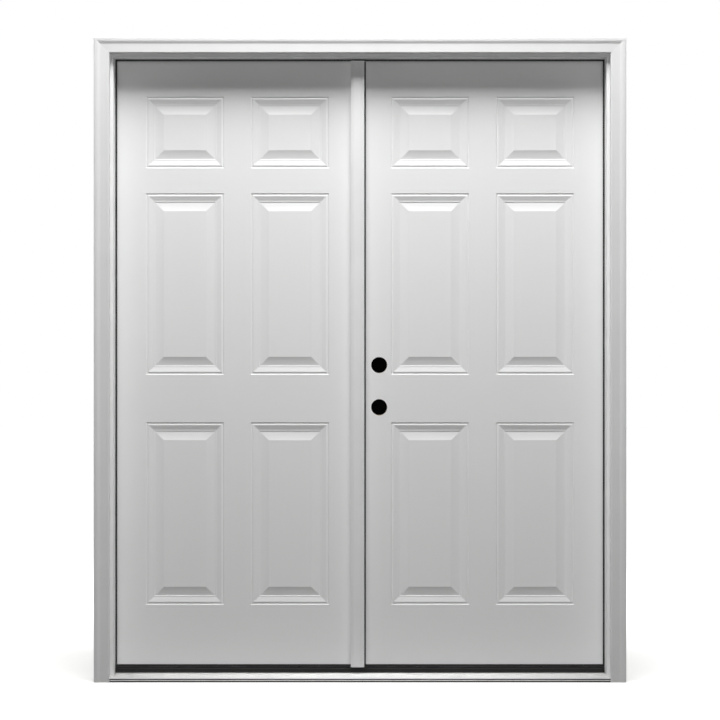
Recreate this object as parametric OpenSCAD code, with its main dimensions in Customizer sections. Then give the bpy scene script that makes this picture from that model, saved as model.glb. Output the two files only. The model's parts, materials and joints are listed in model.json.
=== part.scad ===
// Prehung inswing double entry door: two six-panel steel leaves in a rabbeted
// timber frame with brickmould, weatherstrip, adjustable sill and a T astragal.
// Millimetres. X runs across the opening, Y from outdoors (-) to indoors (+), Z up.
// The origin is the middle of the sill's underside, in the plane of the jambs' outdoor edge.

/* [Leaves] */
// Width of the active leaf, which carries the lock bores
leaf_width = 812.8; // [760:0.1:900]
// Height of both leaves
leaf_height = 2006.6; // [1980:0.1:2080]
// Thickness of both leaves over their skins
leaf_thickness = 44.45; // [43:0.05:46]
// Height of the leaves' lower edge above the sill's underside
leaf_lift = 47.6; // [47:0.1:50]
// Thickness of the pressed steel skins
skin_thickness = 0.8; // [0.6:0.1:1]
// Width of the timber stiles inside a leaf
stile_width = 28.6; // [26:0.1:30]
// Height of the timber rails inside a leaf
rail_height = 38.1; // [32:0.1:50]

/* [Panels] */
// Flat face between the hinge edge and the panels
hinge_face = 107.5; // [100:0.1:115]
// Flat face between the panels and the active leaf's lock edge
lock_face = 99.2; // [98:0.1:110]
// Flat face between the two columns of panels
mullion_face = 88.5; // [70:0.1:100]
// Flat face below the bottom panels
bottom_face = 196.5; // [180:0.1:210]
// Flat face between the bottom and the middle panels
lock_rail_face = 157.1; // [150:0.1:170]
// Flat face between the middle and the top panels
frieze_face = 82.7; // [75:0.1:95]
// Flat face above the top panels
top_face = 129.9; // [120:0.1:140]
// Height of the bottom panels
bottom_panel = 603.6; // [580:0.1:620]
// Height of the top panels
top_panel = 236.5; // [220:0.1:250]
// Depth of the pressed valley around each panel
valley_depth = 5.8; // [5:0.1:9]
// Depth of the raised field below the leaf's face
field_depth = 0.5; // [0.2:0.1:3]
// Width of the moulded border outside the valley
sticking_width = 29.6; // [26:0.1:32]
// Width of the bevel that rises to the field
bevel_width = 29.9; // [24:0.1:34]

/* [Frame] */
// Depth of the jambs from outdoors to indoors
jamb_depth = 115.9; // [112:0.1:122]
// Thickness of the jambs behind the leaves
jamb_thickness = 19.05; // [18:0.05:24]
// How far the stops stand into the opening
stop_projection = 11.1; // [10:0.1:12.7]
// Gap between stop and leaf that the weatherstrip fills
seal_gap = 11.45; // [10.5:0.05:12.5]
// Gap between a leaf and its hinge jamb
hinge_gap = 3.175; // [2.8:0.025:4]
// Gap between the leaves and the head
head_gap = 3.175; // [2.8:0.025:4]
// Gap between the active leaf and the astragal
lock_gap = 3.175; // [3:0.025:4]
// Width of the brickmould
brickmould_width = 50.8; // [48:0.1:56]
// Thickness of the brickmould at its outer bead
brickmould_thickness = 31.75; // [30:0.05:34]
// How far the brickmould laps the jambs' edge
brickmould_lap = 19.05; // [17:0.05:20]

/* [Sill] */
// Height of the sill's front nose
nose_height = 12.7; // [12:0.1:14]
// How far the nose stands out in front of the jambs
nose_reach = 29; // [27:0.1:30]
// Height of the aluminium deck under the cap
deck_height = 21.5; // [20.5:0.1:22]
// Thickness of the aluminium deck
deck_thickness = 1.6; // [1.4:0.1:2]
// Height of the cap's top at its lowest setting
cap_height = 37; // [36:0.1:37.5]
// How far the adjusting screws can lift the cap
cap_travel = 3; // [2:0.1:3]

/* [Astragal] */
// Thickness of the astragal's leg between the leaves
astragal_thickness = 15.875; // [15.5:0.025:18]
// Width of the astragal's cap
cap_width = 44.45; // [43:0.05:48]
// How far the cap stands out from the leaves' outdoor face
cap_projection = 31.75; // [28:0.05:36]
// Side of the square flush bolts
bolt_side = 10; // [9:0.1:10.4]
// Length of each flush bolt
bolt_length = 180; // [150:1:220]
// Travel of the flush bolts
bolt_travel = 15; // [12:0.5:16]

/* [Hinges] */
// Height of a butt hinge
hinge_height = 101.6; // [95:0.1:110]
// Reach of a hinge plate from the pin's axis
hinge_reach = 44; // [42:0.1:46]
// Thickness of the hinge plates
plate_thickness = 2.5; // [2.2:0.1:3]
// Radius of the knuckles
knuckle_radius = 6; // [5.6:0.1:6.2]
// Radius of the hinge pin
pin_radius = 3; // [2.6:0.1:3.2]
// Distance of the pin's axis from the leaves' indoor face
pin_offset = 6.5; // [6.5:0.1:8]
// Top of the upper hinge below the leaf's top
upper_hinge_drop = 177.8; // [150:0.1:220]
// Bottom of the lower hinge above the leaf's bottom
lower_hinge_rise = 250; // [220:0.1:300]

/* [Lock preparation] */
// Distance of the cross bores from the lock edge
backset = 60.325; // [60:0.025:64]
// Diameter of the cross bores for the lockset and the deadbolt
cross_bore = 53.975; // [50:0.025:54]
// Diameter of the latch bores in the lock edge
edge_bore = 25.4; // [23:0.1:25.4]
// Height of the lower cross bore above the leaf's bottom
lockset_rise = 849.4; // [830:0.1:870]
// Distance between the two cross bores
bore_spacing = 139.7; // [130:0.1:150]

/* [Fits] */
// Radial running clearance of a hinge pin
pin_clearance = 0.05; // [0.03:0.01:0.08]
// Axial gap between two knuckles
knuckle_gap = 0.3; // [0.3:0.05:0.5]
// Clearance of one leaf's knuckle from the other leaf's plate
relief_clearance = 0.5; // [0.4:0.05:0.6]
// Clearance around a mortised plate
mortise_clearance = 0.2; // [0.1:0.05:0.3]
// Clearance of a soft seal from the leaf that closes on it
seal_clearance = 0.3; // [0.3:0.05:0.5]
// Sliding clearance on each side of a flush bolt
bolt_clearance = 0.4; // [0.3:0.05:0.5]
// Clearance between the threshold cap and its channel
channel_clearance = 0.4; // [0.3:0.05:0.6]

/* [Hidden] */
$fn = 48;
over = 1;
// Planes and lines that the parts share
rabbet = lock_gap + leaf_width + hinge_gap;
stop_face = rabbet - stop_projection;
unit_half = rabbet + jamb_thickness;
leaf_edge = rabbet - hinge_gap;
leaf_front = jamb_depth - leaf_thickness;
stop_depth = leaf_front - seal_gap;
leaf_top = leaf_lift + leaf_height;
head_rabbet = leaf_top + head_gap;
head_stop = head_rabbet - stop_projection;
unit_height = head_rabbet + jamb_thickness;
mould_inner = unit_half - brickmould_lap;
mould_outer = mould_inner + brickmould_width;
mould_top = unit_height - brickmould_lap + brickmould_width;
passive_width = leaf_width + lock_gap - astragal_thickness;
leaf_middle = leaf_front + leaf_thickness / 2;
// Panels
panel_width = (leaf_width - hinge_face - mullion_face - lock_face) / 2;
middle_panel = leaf_height - bottom_face - bottom_panel - lock_rail_face - frieze_face - top_panel - top_face;
column_starts = [hinge_face, hinge_face + panel_width + mullion_face];
row_starts = [
    bottom_face,
    bottom_face + bottom_panel + lock_rail_face,
    bottom_face + bottom_panel + lock_rail_face + middle_panel + frieze_face
];
row_heights = [bottom_panel, middle_panel, top_panel];
bevel_start = valley_depth - 0.4;
emboss_block = valley_depth + skin_thickness + 2;
// Weatherstrip and its saw kerf
kerf_width = 3;
kerf_depth = 9.5;
bulb_reach = 5.5;
strip_bottom = cap_height + cap_travel + seal_clearance;
// Sill
nose_front = -nose_reach;
groove_back = nose_front + 5;
hook_back = groove_back + deck_thickness;
hook_bottom = 4.6;
channel_front = stop_depth - 2;
lip_height = 4.5;
channel_back = jamb_depth - 2.9;
skirt_front = channel_front - 1.8;
screw_y = (channel_front + channel_back) / 2;
screw_places = [for (k = [-3, -1, 1, 3]) k * rabbet / 4.1];
adjuster_radius = 3;
adjuster_head = 5.5;
adjuster_head_height = 3;
adjuster_sink = 5.5;
adjuster_length = 25;
// Astragal
cap_left = -astragal_thickness / 2 - cap_width / 2;
cap_right = cap_left + cap_width;
cap_front = leaf_front - cap_projection;
cap_back = leaf_front - seal_gap + 1;
bolt_x = -astragal_thickness / 2;
plug_height = 25;
pad_bottom = cap_height + cap_travel + 1;
bolt_socket = bolt_side + 3;
tab_width = 6;
tab_height = 18;
tab_drop = 110;
strike_thickness = 1.6;
// Hinges
hinge_x = rabbet - hinge_gap / 2;
hinge_y = jamb_depth + pin_offset;
knuckle_length = (hinge_height - 4 * knuckle_gap) / 5;
knuckle_pitch = knuckle_length + knuckle_gap;
plate_corner = 12;
hinge_levels = [
    leaf_lift + lower_hinge_rise,
    leaf_lift + (leaf_height + lower_hinge_rise - upper_hinge_drop - hinge_height) / 2,
    leaf_top - upper_hinge_drop - hinge_height
];
screw_radius = 2.2;
screw_head = 4.4;
screw_sink = 2.2;
jamb_screw = 16;
leaf_screw = 22;
screw_spots = [[18, 0.14], [32, 0.38], [32, 0.62], [18, 0.86]];
// Lock preparation
bore_levels = [leaf_lift + lockset_rise, leaf_lift + lockset_rise + bore_spacing];
bore_x = lock_gap + backset;
block_width = 67.4;
block_margin = 95;
face_mortise = [25.4, 57.15, 3.2];
strike_plate = [35, 70];
strike_bore = edge_bore + 1.6;
strike_bore_depth = 12;

// Points of an arc about c, from angle a0 to a1
function arc(c, r, a0, a1, n) = [
    for (i = [0:n], a = a0 + (a1 - a0) * i / n) c + r * [cos(a), sin(a)]
];

// Points of a smooth S from p to q, level at both ends
function ogee(p, q, n) = [for (i = [0:n]) [
    p[0] + (q[0] - p[0]) * i / n,
    p[1] + (q[1] - p[1]) * (1 - cos(180 * i / n)) / 2
]];

// Prism along X of an outline drawn in Y and Z
module along_x(x0, x1) {
    translate([x0, 0, 0]) rotate([90, 0, 90]) linear_extrude(x1 - x0) children();
}

// Prism along Y of an outline drawn in X and Z
module along_y(y0, y1) {
    translate([0, y1, 0]) rotate([90, 0, 0]) linear_extrude(y1 - y0) children();
}

// Prism along Z of an outline drawn in X and Y
module along_z(z0, z1) {
    translate([0, 0, z0]) linear_extrude(z1 - z0) children();
}

// Rectangle about the origin with round corners
module rounded(size, r) {
    square([size[0] - 2 * r, size[1]], center = true);
    square([size[0], size[1] - 2 * r], center = true);
    for (x = [-1, 1], y = [-1, 1])
        translate([x * (size[0] / 2 - r), y * (size[1] / 2 - r)]) circle(r);
}

// The right-hand copy of a piece drawn for the left side
module on_right() {
    mirror([1, 0, 0]) children();
}

// Jambs: a rabbeted section with a saw kerf in the corner behind the stop
module jamb_section() {
    difference() {
        union() {
            translate([-unit_half, 0]) square([jamb_thickness, jamb_depth]);
            translate([-rabbet - over, 0]) square([stop_projection + over, stop_depth]);
        }
        translate([-rabbet - kerf_depth, stop_depth]) square([kerf_depth + over, kerf_width]);
        translate([-stop_face, 0]) rotate(45) square(2, center = true);
    }
}

module left_jamb_piece() {
    difference() {
        along_z(0, unit_height) jamb_section();
        // Housing for the head jamb
        translate([-rabbet, -over, head_stop]) cube([stop_projection + over, jamb_depth, unit_height]);
        for (z = hinge_levels) {
            translate([0, 0, z]) jamb_mortise();
            translate([0, 0, z]) jamb_screws(0.02);
        }
    }
}

module left_jamb() {
    color("#e9e9e6") left_jamb_piece();
}

module right_jamb() {
    color("#e9e9e6") on_right() left_jamb_piece();
}

module head_jamb() {
    color("#e9e9e6") difference() {
        along_x(-rabbet, rabbet) difference() {
            union() {
                translate([0, head_rabbet]) square([jamb_depth, jamb_thickness]);
                translate([0, head_stop]) square([stop_depth, stop_projection + over]);
            }
            translate([stop_depth, head_rabbet - over]) square([kerf_width, kerf_depth + over]);
            translate([0, head_stop]) rotate(45) square(2, center = true);
        }
        // Socket and strike recess for the upper flush bolt
        translate([bolt_x, leaf_middle, head_rabbet])
            cube([bolt_socket, bolt_socket, 2 * (bolt_travel - 1)], center = true);
        translate([bolt_x, leaf_middle, head_rabbet - over])
            linear_extrude(strike_thickness + over) rounded([30, 42], 4);
    }
}

module head_bolt_strike() {
    color("#b3b1ab") translate([bolt_x, leaf_middle, head_rabbet])
        linear_extrude(strike_thickness) difference() {
            rounded([30 - 2 * mortise_clearance, 42 - 2 * mortise_clearance], 4);
            square(bolt_socket, center = true);
        }
}

// Brickmould: outer bead, ogee, a face that rises a little and a rounded inner edge, mitred at the head
mould_relief = 4.4;
mould_nose = brickmould_thickness - mould_relief + 1;
function mould_profile() = concat(
    [[0, 0]],
    arc([3, brickmould_thickness - 3], 3, 180, 90, 5),
    ogee([9.5, brickmould_thickness], [23.5, brickmould_thickness - mould_relief], 9),
    arc([brickmould_width - 3.2, mould_nose - 3.2], 3.2, 93, 0, 6),
    [[brickmould_width, 0]]
);

module left_mould_piece() {
    intersection() {
        along_z(0, mould_top)
            polygon([for (p = mould_profile()) [-mould_outer + p[0], -p[1]]]);
        along_y(-brickmould_thickness - over, over) polygon([
            [-mould_outer, 0],
            [-mould_inner, 0],
            [-mould_inner, mould_top - brickmould_width],
            [-mould_outer, mould_top]
        ]);
    }
}

module left_brickmould() {
    color("#f0f0ee") left_mould_piece();
}

module right_brickmould() {
    color("#f0f0ee") on_right() left_mould_piece();
}

module head_brickmould() {
    color("#f0f0ee") intersection() {
        along_x(-mould_outer, mould_outer)
            polygon([for (p = mould_profile()) [-p[1], mould_top - p[0]]]);
        along_y(-brickmould_thickness - over, over) polygon([
            [-mould_outer, mould_top],
            [-mould_inner, mould_top - brickmould_width],
            [mould_inner, mould_top - brickmould_width],
            [mould_outer, mould_top]
        ]);
    }
}

// Weatherstrip: barbed stem in the kerf and a soft bulb between stop and leaf.
// Drawn with the rabbet's face at 0, the opening towards +x and the stop's shoulder at y = 0.
module strip_section() {
    tip = stop_projection + bulb_reach;
    bulb = seal_gap - seal_clearance;
    polygon(concat(
        [[0, 0.4], [-2, 0.4], [-2.6, 0], [-4.6, 0.4], [-5.2, 0], [-7.2, 0.4], [-8.8, 1.1], [-8.8, 1.9]],
        [[-7.2, 2.6], [-5.2, 3], [-4.6, 2.6], [-2.6, 3], [-2, 2.6], [0, 2.6], [0, 5]],
        arc([5, bulb - 5], 5, 160, 90, 4),
        arc([tip - bulb / 2, bulb / 2], bulb / 2, 90, -90, 10),
        [[1, 0]]
    ));
}

module left_strip_piece() {
    along_z(strip_bottom, head_stop - bulb_reach)
        translate([-rabbet, stop_depth]) strip_section();
}

module left_weatherstrip() {
    color("#1c1c1d") left_strip_piece();
}

module right_weatherstrip() {
    color("#1c1c1d") on_right() left_strip_piece();
}

module head_weatherstrip() {
    color("#1c1c1d") along_x(-rabbet, rabbet)
        translate([stop_depth, head_rabbet]) rotate(-90) strip_section();
}

// Sill: composite base, mill aluminium deck with a hooked nose, and a channel for the cap
deck_slope = (deck_height - nose_height) / (channel_front - nose_front);
function deck_line(y) = nose_height + deck_slope * (y - nose_front);

module between_jambs() {
    difference() {
        children();
        for (s = [-1, 1])
            translate([s * (rabbet + stop_face) / 2, stop_depth / 2, 0])
                cube([stop_projection, stop_depth, 4 * cap_height], center = true);
    }
}

module sill_substrate() {
    color("#3a3936") difference() {
        between_jambs() along_x(-rabbet, rabbet) polygon([
            [hook_back, 0],
            [jamb_depth, 0],
            [jamb_depth, deck_height - deck_thickness],
            [channel_front, deck_height - deck_thickness],
            [hook_back, deck_line(hook_back) - deck_thickness]
        ]);
        for (x = screw_places) translate([x, screw_y, 4])
            cylinder(r = adjuster_radius + 0.4, h = deck_height);
    }
}

module sill_deck() {
    wall = deck_thickness;
    back = channel_back + wall;
    floor_under = deck_height - wall;
    color("#c9cbcc") difference() {
        between_jambs() along_x(-rabbet, rabbet) polygon(concat(
            [[hook_back, hook_bottom]],
            arc([nose_front + 1.7, hook_bottom + 1.7], 1.7, 270, 90, 6),
            [[groove_back, hook_bottom + 3.4], [groove_back, nose_height - wall]],
            arc([nose_front + wall / 2, nose_height - wall / 2], wall / 2, 270, 96, 6),
            [[channel_front, deck_height], [channel_front, deck_height + lip_height]],
            [[channel_front + wall, deck_height + lip_height], [channel_front + wall, deck_height]],
            [[channel_back, deck_height], [channel_back, deck_height + lip_height]],
            [[back, deck_height + lip_height], [back, floor_under]],
            [[channel_front, floor_under], [hook_back, deck_line(hook_back) - wall]]
        ));
        for (x = screw_places) translate([x, screw_y, floor_under - over])
            cylinder(r = adjuster_radius + 0.4, h = wall + 2 * over);
    }
}

// Threshold cap: a hollow-backed rail that rides in the deck's channel on four screws
module threshold_cap() {
    shoulder = deck_height + lip_height + 1;
    inner_front = channel_front + deck_thickness + channel_clearance;
    inner_back = channel_back - channel_clearance;
    skirt_back = channel_front - channel_clearance;
    color("#2b2a29") difference() {
        between_jambs() along_x(-rabbet + channel_clearance, rabbet - channel_clearance)
            polygon(concat(
                [[skirt_front, deck_height + 0.6]],
                arc([skirt_front + 2.5, cap_height - 3.1], 2.5, 180, 100, 5),
                [[screw_y, cap_height]],
                arc([jamb_depth - 2.9, cap_height - 3.1], 2.5, 80, 0, 5),
                [[jamb_depth - 0.4, shoulder], [inner_back, shoulder], [inner_back, deck_height]],
                [[inner_front, deck_height], [inner_front, shoulder]],
                [[skirt_back, shoulder], [skirt_back, deck_height + 0.6]]
            ));
        // Clearance for the stops' ends, where the cap's skirt passes in front of them
        for (s = [-1, 1])
            translate([s * (rabbet + stop_face) / 2, stop_depth / 2, 0])
                cube([
                    stop_projection + 2 * channel_clearance,
                    stop_depth + 2 * channel_clearance,
                    4 * cap_height
                ], center = true);
        for (x = screw_places) translate([x, screw_y, 0]) {
            cylinder(r = adjuster_radius + 0.05, h = cap_height);
            translate([0, 0, cap_height - adjuster_sink]) cylinder(r = adjuster_head + 0.4, h = cap_height);
        }
        // Socket for the lower flush bolt
        translate([bolt_x, leaf_middle, cap_height])
            cube([bolt_socket, bolt_socket, 4 * cap_height], center = true);
    }
}

// Adjusting screw with a cross slot
module adjuster(x) {
    seat = cap_height - adjuster_sink;
    color("#c0b27c") translate([x, screw_y, 0]) difference() {
        union() {
            translate([0, 0, seat + adjuster_head_height - adjuster_length])
                cylinder(r = adjuster_radius, h = adjuster_length - over);
            translate([0, 0, seat]) cylinder(r = adjuster_head, h = adjuster_head_height);
        }
        for (a = [0, 90]) translate([0, 0, seat + adjuster_head_height]) rotate(a)
            cube([6, 1.2, 3], center = true);
    }
}

module threshold_screw_1() {
    adjuster(screw_places[0]);
}

module threshold_screw_2() {
    adjuster(screw_places[1]);
}

module threshold_screw_3() {
    adjuster(screw_places[2]);
}

module threshold_screw_4() {
    adjuster(screw_places[3]);
}

// Butt hinges, drawn for the left side with the hinge's lower end at z = 0
module plate_outline(grow) {
    r = plate_corner + grow;
    y0 = hinge_y - hinge_reach - grow;
    top = hinge_height + grow;
    translate([y0 + r, -grow]) square([hinge_y - y0 - r, hinge_height + 2 * grow]);
    translate([y0, -grow + r]) square([r + over, hinge_height + 2 * grow - 2 * r]);
    for (z = [-grow + r, top - r]) translate([y0 + r, z]) circle(r);
}

module jamb_mortise() {
    along_x(-rabbet - plate_thickness, -rabbet + over) plate_outline(mortise_clearance);
}

module knuckles(which, grow) {
    for (k = which) translate([-hinge_x, hinge_y, k * knuckle_pitch - (grow > 0 ? knuckle_gap : 0)])
        cylinder(r = knuckle_radius + grow, h = knuckle_length + (grow > 0 ? 2 * knuckle_gap : 0));
}

// Countersunk wood screw along -x from the origin
module wood_screw(length, clearance) {
    rotate([0, -90, 0]) {
        translate([0, 0, -0.01 * sign(clearance)])
            cylinder(r1 = screw_head + clearance, r2 = screw_radius + clearance, h = screw_sink);
        cylinder(r = screw_radius + clearance, h = length + clearance);
    }
}

module jamb_screws(clearance) {
    for (s = screw_spots) translate([-rabbet, hinge_y - s[0], s[1] * hinge_height])
        wood_screw(jamb_screw, clearance);
}

module leaf_screws(clearance) {
    for (s = screw_spots) translate([-leaf_edge, hinge_y - s[0], s[1] * hinge_height])
        mirror([1, 0, 0]) wood_screw(leaf_screw, clearance);
}

module hinge_barrel_cut() {
    translate([-hinge_x, hinge_y, -over])
        cylinder(r = pin_radius + pin_clearance, h = hinge_height + 2 * over);
}

module jamb_plate(z) {
    color("#b3b1ab") translate([0, 0, z]) difference() {
        union() {
            along_x(-rabbet - plate_thickness, -rabbet) plate_outline(0);
            knuckles([0, 2, 4], 0);
        }
        knuckles([1, 3], relief_clearance);
        hinge_barrel_cut();
        jamb_screws(0.02);
    }
}

module door_plate(z) {
    color("#b3b1ab") translate([0, 0, z]) difference() {
        union() {
            along_x(-leaf_edge, -leaf_edge + plate_thickness) plate_outline(0);
            knuckles([1, 3], 0);
        }
        knuckles([0, 2, 4], relief_clearance);
        hinge_barrel_cut();
        leaf_screws(0.02);
    }
}

module left_bottom_hinge_jamb_leaf() {
    jamb_plate(hinge_levels[0]);
}

module left_middle_hinge_jamb_leaf() {
    jamb_plate(hinge_levels[1]);
}

module left_top_hinge_jamb_leaf() {
    jamb_plate(hinge_levels[2]);
}

module right_bottom_hinge_jamb_leaf() {
    on_right() jamb_plate(hinge_levels[0]);
}

module right_middle_hinge_jamb_leaf() {
    on_right() jamb_plate(hinge_levels[1]);
}

module right_top_hinge_jamb_leaf() {
    on_right() jamb_plate(hinge_levels[2]);
}

module left_bottom_hinge_door_leaf() {
    door_plate(hinge_levels[0]);
}

module left_middle_hinge_door_leaf() {
    door_plate(hinge_levels[1]);
}

module left_top_hinge_door_leaf() {
    door_plate(hinge_levels[2]);
}

module right_bottom_hinge_door_leaf() {
    on_right() door_plate(hinge_levels[0]);
}

module right_middle_hinge_door_leaf() {
    on_right() door_plate(hinge_levels[1]);
}

module right_top_hinge_door_leaf() {
    on_right() door_plate(hinge_levels[2]);
}

// Loose pins with a domed head that rests on the upper knuckle
module pin_set() {
    for (z = hinge_levels) translate([-hinge_x, hinge_y, z]) {
        translate([0, 0, over]) cylinder(r = pin_radius, h = hinge_height);
        translate([0, 0, hinge_height]) cylinder(r = knuckle_radius - 0.4, h = 2);
        translate([0, 0, hinge_height + 2])
            cylinder(r1 = knuckle_radius - 0.4, r2 = knuckle_radius - 2.4, h = 1.6);
    }
}

module hinge_pins() {
    color("#b3b1ab") {
        pin_set();
        on_right() pin_set();
    }
}

module screw_set() {
    for (z = hinge_levels) translate([0, 0, z]) jamb_screws(0);
}

module frame_hinge_screws() {
    color("#a5a39d") {
        screw_set();
        on_right() screw_set();
    }
}

// Leaves. Each piece is drawn for a leaf whose hinge edge is x = 0, outdoor face y = 0
// and lower edge z = 0, and is then set in the frame on its own side.
module passive_place() {
    translate([-leaf_edge, leaf_front, leaf_lift]) children();
}

module active_place() {
    on_right() passive_place() children();
}

// Pressed border of a panel as pairs of inset and depth: quirk, bead, ogee, valley, hollow bevel
function border_profile() = concat(
    [[0, -over], [0, 0], [1.4, 1.1], [3.4, 1.75], [6.6, 1.15], [9.4, 0.7]],
    ogee([10.6, 0.7], [sticking_width - 3.6, valley_depth], 6),
    [[sticking_width - 2, valley_depth], [sticking_width, bevel_start]],
    [for (t = [0.5, 1]) [
        sticking_width + bevel_width * t,
        bevel_start - (bevel_start - field_depth) * t * (0.8 + 0.2 * t)
    ]]
);

// Solid that presses one panel into a face: nested rectangles joined by mitred slopes
module panel_die(x0, z0, w, h) {
    p = border_profile();
    n = len(p);
    points = [for (q = p, c = [[0, 0], [1, 0], [1, 1], [0, 1]]) [
        x0 + (c[0] == 0 ? q[0] : w - q[0]),
        q[1],
        z0 + (c[1] == 0 ? q[0] : h - q[0])
    ]];
    slopes = [for (i = [0:n - 2], k = [0:3]) [
        4 * i + k,
        4 * i + (k + 1) % 4,
        4 * i + 4 + (k + 1) % 4,
        4 * i + 4 + k
    ]];
    last = 4 * (n - 1);
    polyhedron(points, concat([[3, 2, 1, 0]], slopes, [[last, last + 1, last + 2, last + 3]]));
}

module panel_dies() {
    for (x = column_starts, r = [0:2]) panel_die(x, row_starts[r], panel_width, row_heights[r]);
}

// Face of a leaf as a thick block with the panels pressed in
module pressed_block(width, depth, margin) {
    difference() {
        translate([-margin, 0, -margin]) cube([width + 2 * margin, depth, leaf_height + 2 * margin]);
        panel_dies();
    }
}

module skin(width) {
    difference() {
        pressed_block(width, emboss_block, 0);
        translate([0, skin_thickness, 0]) pressed_block(width, emboss_block, over);
    }
}

module indoors() {
    translate([0, leaf_thickness, 0]) mirror([0, 1, 0]) children();
}

module cross_bores(width) {
    for (z = bore_levels) translate([width - backset, -over, z - leaf_lift]) rotate([-90, 0, 0])
        cylinder(d = cross_bore, h = leaf_thickness + 2 * over);
}

// Latch bores from the lock edge, with a shallow mortise for each face plate
module edge_bores(width, depth) {
    for (z = bore_levels) translate([width - depth, leaf_thickness / 2, z - leaf_lift]) rotate([0, 90, 0])
        cylinder(d = edge_bore, h = depth + over);
}

module face_mortises(width) {
    for (z = bore_levels) translate([width - face_mortise[2], leaf_thickness / 2, z - leaf_lift])
        rotate([90, 0, 90]) linear_extrude(face_mortise[2] + over)
            rounded([face_mortise[0], face_mortise[1]], 6);
}

// Timber edge of a leaf between its skins
module edge_bar(x0, x1, z0, z1) {
    translate([x0, skin_thickness, z0]) cube([x1 - x0, leaf_thickness - 2 * skin_thickness, z1 - z0]);
}

module hinge_stile() {
    difference() {
        edge_bar(0, stile_width, 0, leaf_height);
        for (z = hinge_levels) translate([leaf_edge, -leaf_front, z - leaf_lift]) {
            along_x(-leaf_edge - over, -leaf_edge + plate_thickness) plate_outline(mortise_clearance);
            leaf_screws(0.02);
        }
    }
}

module hinge_side_skin(width) {
    difference() {
        indoors() skin(width);
        // The hinge plates' mortises run out through the indoor face
        for (z = hinge_levels) translate([leaf_edge, -leaf_front, z - leaf_lift])
            along_x(-leaf_edge - over, -leaf_edge + plate_thickness) plate_outline(mortise_clearance);
    }
}

module leaf_core(width) {
    difference() {
        edge_bar(stile_width, width - stile_width, rail_height, leaf_height - rail_height);
        translate([0, skin_thickness, 0]) panel_dies();
        indoors() translate([0, skin_thickness, 0]) panel_dies();
    }
}

// Sweep: a base strip with three slanted fins and an outdoor drip leg
module leaf_sweep(width) {
    tip = cap_height + cap_travel + seal_clearance - leaf_lift;
    base = -1.6;
    fins = [for (y = [1, 14, 26, 38]) each [[y, base], [y + 1.6, tip], [y + 2.6, tip], [y + 1.6, base]]];
    along_x(0.5, width - 0.5)
        polygon(concat([[1, 0]], fins, [[leaf_thickness - 2, base], [leaf_thickness - 2, 0]]));
}

module leaf_screw_set() {
    for (z = hinge_levels) translate([0, 0, z]) leaf_screws(0);
}

module passive_exterior_skin() {
    color("#f4f4f2") passive_place() skin(passive_width);
}

module passive_interior_skin() {
    color("#f4f4f2") passive_place() hinge_side_skin(passive_width);
}

module passive_hinge_stile() {
    color("#d8c19a") passive_place() hinge_stile();
}

module passive_lock_stile() {
    color("#d8c19a") difference() {
        passive_place() edge_bar(passive_width - stile_width, passive_width, 0, leaf_height);
        for (z = bore_levels) translate([-astragal_thickness - strike_bore_depth, leaf_middle, z])
            rotate([0, 90, 0]) cylinder(d = strike_bore, h = strike_bore_depth + over);
        astragal_screw_set(0.02);
    }
}

module passive_top_rail() {
    color("#d8c19a") passive_place()
        edge_bar(stile_width, passive_width - stile_width, leaf_height - rail_height, leaf_height);
}

module passive_bottom_rail() {
    color("#d8c19a") passive_place() edge_bar(stile_width, passive_width - stile_width, 0, rail_height);
}

module passive_foam_core() {
    color("#e6d9a8") passive_place() leaf_core(passive_width);
}

module passive_sweep() {
    color("#333334") passive_place() leaf_sweep(passive_width);
}

module passive_hinge_screws() {
    color("#a5a39d") leaf_screw_set();
}

module active_exterior_skin() {
    color("#f4f4f2") active_place() difference() {
        skin(leaf_width);
        cross_bores(leaf_width);
    }
}

module active_interior_skin() {
    color("#f4f4f2") active_place() difference() {
        hinge_side_skin(leaf_width);
        cross_bores(leaf_width);
    }
}

module active_hinge_stile() {
    color("#d8c19a") active_place() hinge_stile();
}

module active_lock_stile() {
    color("#d8c19a") active_place() difference() {
        edge_bar(leaf_width - stile_width, leaf_width, 0, leaf_height);
        edge_bores(leaf_width, backset);
        face_mortises(leaf_width);
    }
}

module active_top_rail() {
    color("#d8c19a") active_place()
        edge_bar(stile_width, leaf_width - stile_width, leaf_height - rail_height, leaf_height);
}

module active_bottom_rail() {
    color("#d8c19a") active_place() edge_bar(stile_width, leaf_width - stile_width, 0, rail_height);
}

// Space in the foam for the block that backs the lock
module lock_block_bar() {
    edge_bar(
        leaf_width - stile_width - block_width,
        leaf_width - stile_width,
        lockset_rise - block_margin,
        lockset_rise + bore_spacing + block_margin
    );
}

module active_foam_core() {
    color("#e6d9a8") active_place() difference() {
        leaf_core(leaf_width);
        translate([0, -over, 0]) lock_block_bar();
        translate([0, over, 0]) lock_block_bar();
    }
}

module active_lock_block() {
    color("#cdb48a") active_place() difference() {
        lock_block_bar();
        cross_bores(leaf_width);
        edge_bores(leaf_width, backset);
    }
}

module active_sweep() {
    color("#333334") active_place() leaf_sweep(leaf_width);
}

module active_hinge_screws() {
    color("#a5a39d") on_right() leaf_screw_set();
}

// T astragal on the passive leaf: a leg in the meeting gap and a moulded cap outdoors
module astragal_screw_set(clearance) {
    for (z = [0.15, 0.33, 0.57, 0.72, 0.86])
        translate([0, leaf_front + 9, leaf_lift + z * leaf_height])
            wood_screw(astragal_thickness + 20, clearance);
}

module bolt_channel(z0, z1) {
    side = bolt_side + 2 * bolt_clearance;
    translate([bolt_x - side / 2, leaf_middle - side / 2, z0]) cube([side, side, z1 - z0]);
}

// Finger slot for a bolt's tab, which travels up from z by the bolt's travel
module tab_slot(z) {
    translate([bolt_x, leaf_middle - tab_width / 2 - bolt_clearance, z - 2])
        cube([astragal_thickness, tab_width + 2 * bolt_clearance, tab_height + bolt_travel + 4]);
}

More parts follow.
